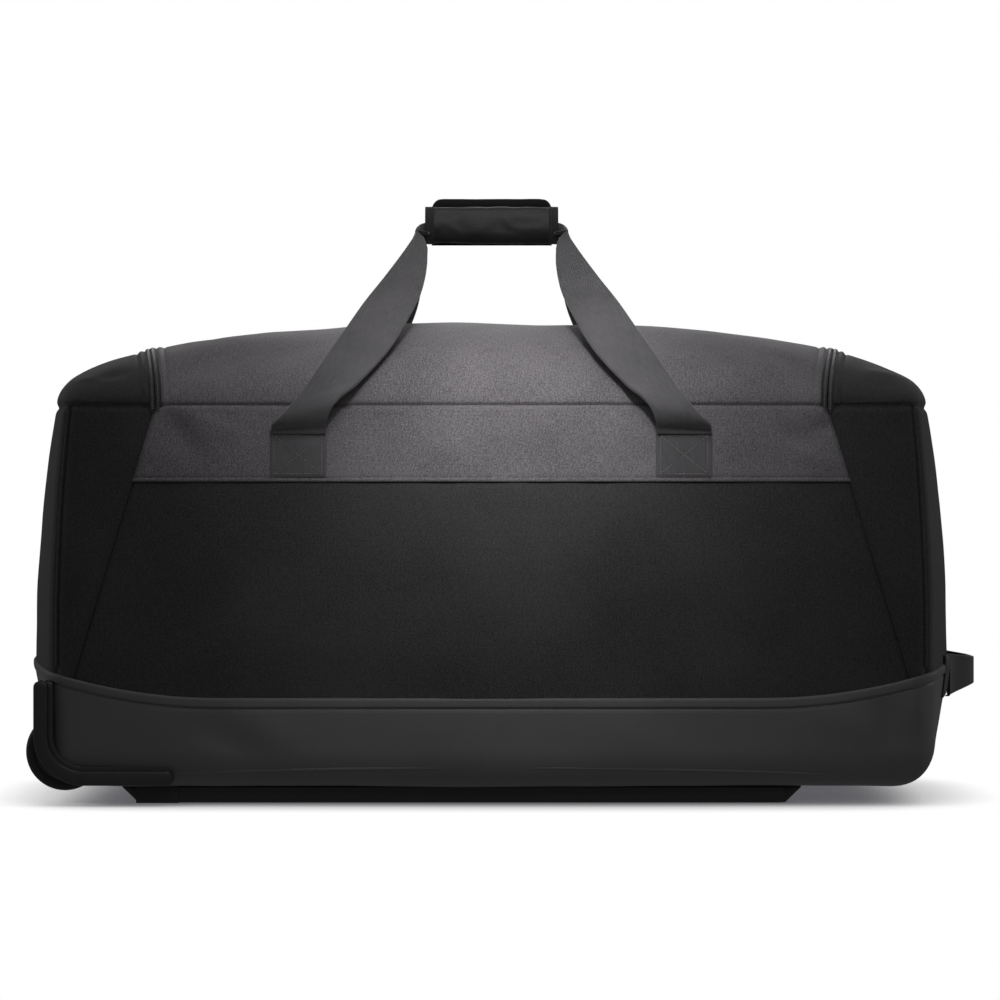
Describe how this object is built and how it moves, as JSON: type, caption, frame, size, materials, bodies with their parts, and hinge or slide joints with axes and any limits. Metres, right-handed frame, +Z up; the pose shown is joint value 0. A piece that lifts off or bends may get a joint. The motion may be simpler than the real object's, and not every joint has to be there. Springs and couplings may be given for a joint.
{
  "type": "wheeled hockey equipment bag",
  "caption": "Large wheeled duffel with a zipped lid that opens along one long side, paired webbing carry handles, skid rails, end wheels and a tow handle.",
  "frame": {"origin": "on the floor, under the middle of the bag's overall box", "axes": "+X along the bag towards the tow handle, -Y the side with the lid's sewn hinge, +Y the side with the zip's straight run, +Z up"},
  "size_m": [0.9, 0.4072, 0.573],
  "materials": {
    "polyester": "charcoal plain-weave polyester",
    "coated_fabric": "black coated fabric, slightly satin",
    "webbing": "dark grey ribbed webbing",
    "moulded_plastic": "black moulded plastic, fine grain",
    "rubber": "black rubber",
    "zip_teeth": "black nylon coil on woven tape",
    "zip_metal": "black painted die-cast metal",
    "steel": "plain steel",
    "board": "black plastic sheet"
  },
  "bodies": {
    "bag_body": {"near_main_panel": "polyester", "near_upper_panel": "polyester", "far_main_panel": "polyester", "far_upper_panel": "polyester", "left_end_panel": "polyester", "left_near_gusset": "polyester", "left_far_gusset": "polyester", "right_end_panel": "polyester", "right_near_gusset": "polyester", "right_far_gusset": "polyester", "left_top_cap": "polyester", "right_top_cap": "polyester", "bottom_wrap": "coated_fabric", "base_board": "board", "body_zip_half": "zip_teeth", "near_left_handle_patch": "webbing", "near_right_handle_patch": "webbing", "far_left_handle_patch": "webbing", "far_right_handle_patch": "webbing", "near_tow_patch": "webbing", "far_tow_patch": "webbing", "near_skid_rail": "moulded_plastic", "far_skid_rail": "moulded_plastic", "near_corner_guard": "moulded_plastic", "far_corner_guard": "moulded_plastic", "near_wheel_housing": "moulded_plastic", "far_wheel_housing": "moulded_plastic", "near_axle": "steel", "far_axle": "steel"},
    "lid": {"lid_panel": "polyester", "lid_zip_half": "zip_teeth"},
    "near_handle": {"near_strap": "webbing", "grip_sleeve": "polyester", "left_grip_binding": "webbing", "right_grip_binding": "webbing"},
    "far_handle": {"far_strap": "webbing", "grip_flap": "polyester"},
    "near_wheel": {"near_tyre": "rubber", "near_wheel_hub": "moulded_plastic"},
    "far_wheel": {"far_tyre": "rubber", "far_wheel_hub": "moulded_plastic"},
    "left_slider": {"left_zip_slider": "zip_metal"},
    "right_slider": {"right_zip_slider": "zip_metal"},
    "left_puller": {"left_zip_puller": "zip_metal"},
    "right_puller": {"right_zip_puller": "zip_metal"},
    "tow_handle": {"tow_strap": "webbing"}
  },
  "joints": [
    {"name": "lid_hinge", "type": "hinge", "parent": "bag_body", "child": "lid", "pos_m": [-0.014, -0.184, 0.368], "axis": [1, 0, 0], "range_deg": [0, 110]},
    {"name": "near_handle_fold", "type": "hinge", "parent": "bag_body", "child": "near_handle", "pos_m": [-0.014, -0.1934, 0.345], "axis": [1, 0, 0], "range_deg": [0, 160]},
    {"name": "far_handle_fold", "type": "hinge", "parent": "bag_body", "child": "far_handle", "pos_m": [-0.014, 0.1934, 0.345], "axis": [-1, 0, 0], "range_deg": [0, 160]},
    {"name": "near_wheel_spin", "type": "hinge", "parent": "bag_body", "child": "near_wheel", "pos_m": [-0.4066, -0.157, 0.0496], "axis": [0, 1, 0], "continuous": true},
    {"name": "far_wheel_spin", "type": "hinge", "parent": "bag_body", "child": "far_wheel", "pos_m": [-0.4066, 0.157, 0.0496], "axis": [0, 1, 0], "continuous": true},
    {"name": "left_slider_slide", "type": "slide", "parent": "bag_body", "child": "left_slider", "axis": [-1, 0, 0], "range_m": [0, 0.27]},
    {"name": "right_slider_slide", "type": "slide", "parent": "bag_body", "child": "right_slider", "axis": [1, 0, 0], "range_m": [0, 0.27]},
    {"name": "left_puller_swing", "type": "hinge", "parent": "left_slider", "child": "left_puller", "pos_m": [-0.0225, 0.1902, 0.3624], "axis": [1, 0, 0], "range_deg": [0, 120]},
    {"name": "right_puller_swing", "type": "hinge", "parent": "right_slider", "child": "right_puller", "pos_m": [-0.0055, 0.1902, 0.3624], "axis": [1, 0, 0], "range_deg": [0, 120]},
    {"name": "tow_handle_lift", "type": "hinge", "parent": "bag_body", "child": "tow_handle", "pos_m": [0.4205, 0, 0.1325], "axis": [0, -1, 0], "range_deg": [0, 45]}
  ],
  "couplings": [
    {"joint": "near_handle_fold", "follows": "lid_hinge", "ratio": 1.4545},
    {"joint": "far_handle_fold", "follows": "lid_hinge", "ratio": 1.4545}
  ]
}
